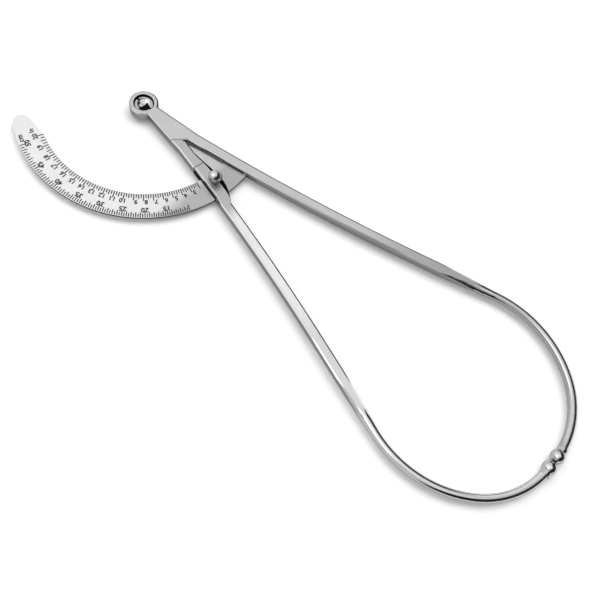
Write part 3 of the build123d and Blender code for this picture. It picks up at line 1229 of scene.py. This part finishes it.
@dataclass
class Studio:
    """Floor, light and camera.

    Attributes:
        camera_place: Where the camera stands.
        heading: Direction that it looks in, in degrees from +X.
        down: How far it looks down, in degrees.
        roll: How far it is turned about its line of sight, in degrees.
        lens: Focal length for the sensor, in millimetres.
        floor_size: Side of the floor.
        floor_glow: Light of the floor's own where it is seen, so that it looks white.
        lamp_spread: How wide each lamp looks from the instrument, in degrees.
        lamps: The lamps.
    """

    camera_place: Triple = (225.317 * MM, -189.251 * MM, 405.433 * MM)
    heading: float = 113.714
    down: float = 66.248
    roll: float = 19.686
    lens: float = 46.34
    floor_size: float = 6.0
    floor_glow: float = 0.13
    lamp_spread: float = 42.0
    lamps: tuple[Lamp, ...] = (
        Lamp("key", place=(0.1, 0.6, 1.0), strength=1.35),
        Lamp("second", place=(-0.5, 0.25, 1.0), strength=0.95),
    )

    SENSOR = 36.0  # width in millimetres
    CLIPPING = (0.005, 20.0)  # nearest and farthest that the camera sees
    SHINE = 1.0  # of the surround as polished steel shows it
    FILL = 0.5  # of the surround as light
    UP = (0.0, 0.0, 1.0)

    # Brightness of the surround from in front of the instrument, at 0, to behind it, at 1
    BEHIND = (-0.2, 0.98, 0.0)
    SKY_STOPS = (
        (0.0, 0.5), (0.28, 0.54), (0.43, 0.9), (0.685, 0.92),
        (0.725, 0.62), (0.77, 0.58), (0.83, 0.75), (1.0, 0.8),
    )

    # Dark parts of the surround, the dusk only low down, and a bright window
    DUSK = SkyPatch(aim=(0.6, 0.8, 0.0), ends=(0.0, 0.4))
    DUSK_TOP = (0.3, 0.42)
    BEYOND = SkyPatch(aim=(0.995, -0.1, 0.0), ends=(0.36, 0.5))
    CORNER = SkyPatch(aim=(0.6, 0.75, 0.28), ends=(0.65, 0.72))
    WINDOW = SkyPatch(aim=(-0.35, -0.45, 0.82), ends=(0.9, 0.975), depth=0.9)

    def add_camera(self) -> None:
        """Makes the camera at the photo's viewing angle."""
        eye = bpy.data.cameras.new("camera")
        eye.lens = self.lens
        eye.sensor_width = self.SENSOR
        eye.clip_start, eye.clip_end = self.CLIPPING
        holder = put_in_scene("camera", eye)
        heading, down, roll = (math.radians(turn) for turn in (self.heading, self.down, self.roll))
        ahead = Vector((math.cos(heading), math.sin(heading), 0.0))
        forward = math.cos(down) * ahead - math.sin(down) * Vector(self.UP)
        level = Vector((math.sin(heading), -math.cos(heading), 0.0))
        upright = level.cross(forward)
        right = math.cos(roll) * level + math.sin(roll) * upright
        up = math.cos(roll) * upright - math.sin(roll) * level
        turn = Matrix((right, up, -forward)).transposed()
        holder.matrix_world = Matrix.Translation(Vector(self.camera_place)) @ turn.to_4x4()
        bpy.context.scene.camera = holder

    def add_floor(self) -> None:
        """Makes the white floor, which keeps the object's shadow."""
        half = self.floor_size / 2.0
        corners = [(-half, -half, 0.0), (half, -half, 0.0), (half, half, 0.0), (-half, half, 0.0)]
        mesh = bpy.data.meshes.new("floor")
        mesh.from_pydata(corners, [], [(0, 1, 2, 3)])
        ground = put_in_scene("floor", mesh)
        paint = bpy.data.materials.new("floor_white")
        make = cleared(paint)
        path = make.add("ShaderNodeLightPath").outputs
        seen = make.math("MAXIMUM", path["Is Camera Ray"], path["Is Glossy Ray"])
        lit = make.add("ShaderNodeBsdfDiffuse", Color=opaque((0.97, 0.97, 0.97)))
        glow = make.add("ShaderNodeEmission", Strength=make.product(seen, self.floor_glow))
        both = make.add("ShaderNodeAddShader")
        make.feed(both.inputs[0], lit.outputs[0])
        make.feed(both.inputs[1], glow.outputs[0])
        make.add("ShaderNodeOutputMaterial", Surface=both.outputs[0])
        mesh.materials.append(paint)

    def surround(self, make: NodeMaker, direction: Socket) -> Socket:
        """Brightness of the surround that the steel reflects.

        Args:
            make: Maker on the world's tree.
            direction: Socket with the direction looked in.

        Returns:
            Socket with the brightness.
        """
        ramp = make.add("ShaderNodeValToRGB")
        behind = make.vector("DOT_PRODUCT", direction, self.BEHIND)
        make.feed(ramp.inputs["Fac"], make.rise(behind, (-1.0, 1.0)))
        points = ramp.color_ramp.elements
        while len(points) < len(self.SKY_STOPS):
            points.new(0.5)
        for point, (share, level) in zip(points, self.SKY_STOPS):
            point.position = share
            point.color = opaque((level, level, level))
        low = make.fall(make.vector("DOT_PRODUCT", direction, self.UP), self.DUSK_TOP)
        dark = make.product(self.DUSK.share(make, direction), low)
        for patch in (self.BEYOND, self.CORNER):
            dark = make.math("MAXIMUM", dark, patch.share(make, direction))
        bright = make.math("ADD", ramp.outputs["Color"], self.WINDOW.share(make, direction))
        return make.product(bright, make.math("SUBTRACT", 1.0, dark))

    def add_sky(self) -> None:
        """Makes the soft surround, which the camera itself sees as plain white."""
        world = bpy.data.worlds.new("studio")
        make = cleared(world)
        path = make.add("ShaderNodeLightPath").outputs
        direction = make.add("ShaderNodeTexCoord").outputs["Generated"]
        strength = make.span(path["Is Diffuse Ray"], (0.0, 1.0), self.SHINE, self.FILL)
        soft = make.add("ShaderNodeBackground", Color=self.surround(make, direction), Strength=strength)
        white = make.add("ShaderNodeBackground", Color=opaque((1.0, 1.0, 1.0)), Strength=1.0)
        choice = make.add("ShaderNodeMixShader")
        make.feed(choice.inputs[0], path["Is Camera Ray"])
        make.feed(choice.inputs[1], soft.outputs[0])
        make.feed(choice.inputs[2], white.outputs[0])
        make.add("ShaderNodeOutputWorld", Surface=choice.outputs[0])
        bpy.context.scene.world = world

    def add_lamps(self) -> None:
        """Makes the soft even light from above and behind."""
        for lamp in self.lamps:
            light = bpy.data.lights.new(lamp.name, "SUN")
            light.angle = math.radians(self.lamp_spread)
            light.energy = lamp.strength
            holder = put_in_scene(lamp.name, light)
            holder.visible_glossy = False
            place = Vector(lamp.place)
            turn = (-place).to_track_quat("-Z", "Y").to_matrix()
            holder.matrix_world = Matrix.Translation(place) @ turn.to_4x4()

    def build(self) -> None:
        """Makes the whole studio."""
        self.add_camera()
        self.add_floor()
        self.add_sky()
        self.add_lamps()
        bpy.context.scene.view_settings.view_transform = "Standard"
        log.info("studio ready")


def main() -> None:
    """Builds everything in order."""
    logging.basicConfig(level=logging.INFO, format="%(message)s")
    Studio().build()
    Arms().dress()
    arc = GraduatedArc()
    arc.dress()
    arc.engrave()
    Pivot().dress()
    ClampScrew().dress()
    SpringLeaf().dress()
    log.info("boxes written")


if __name__ == "__main__":
    main()
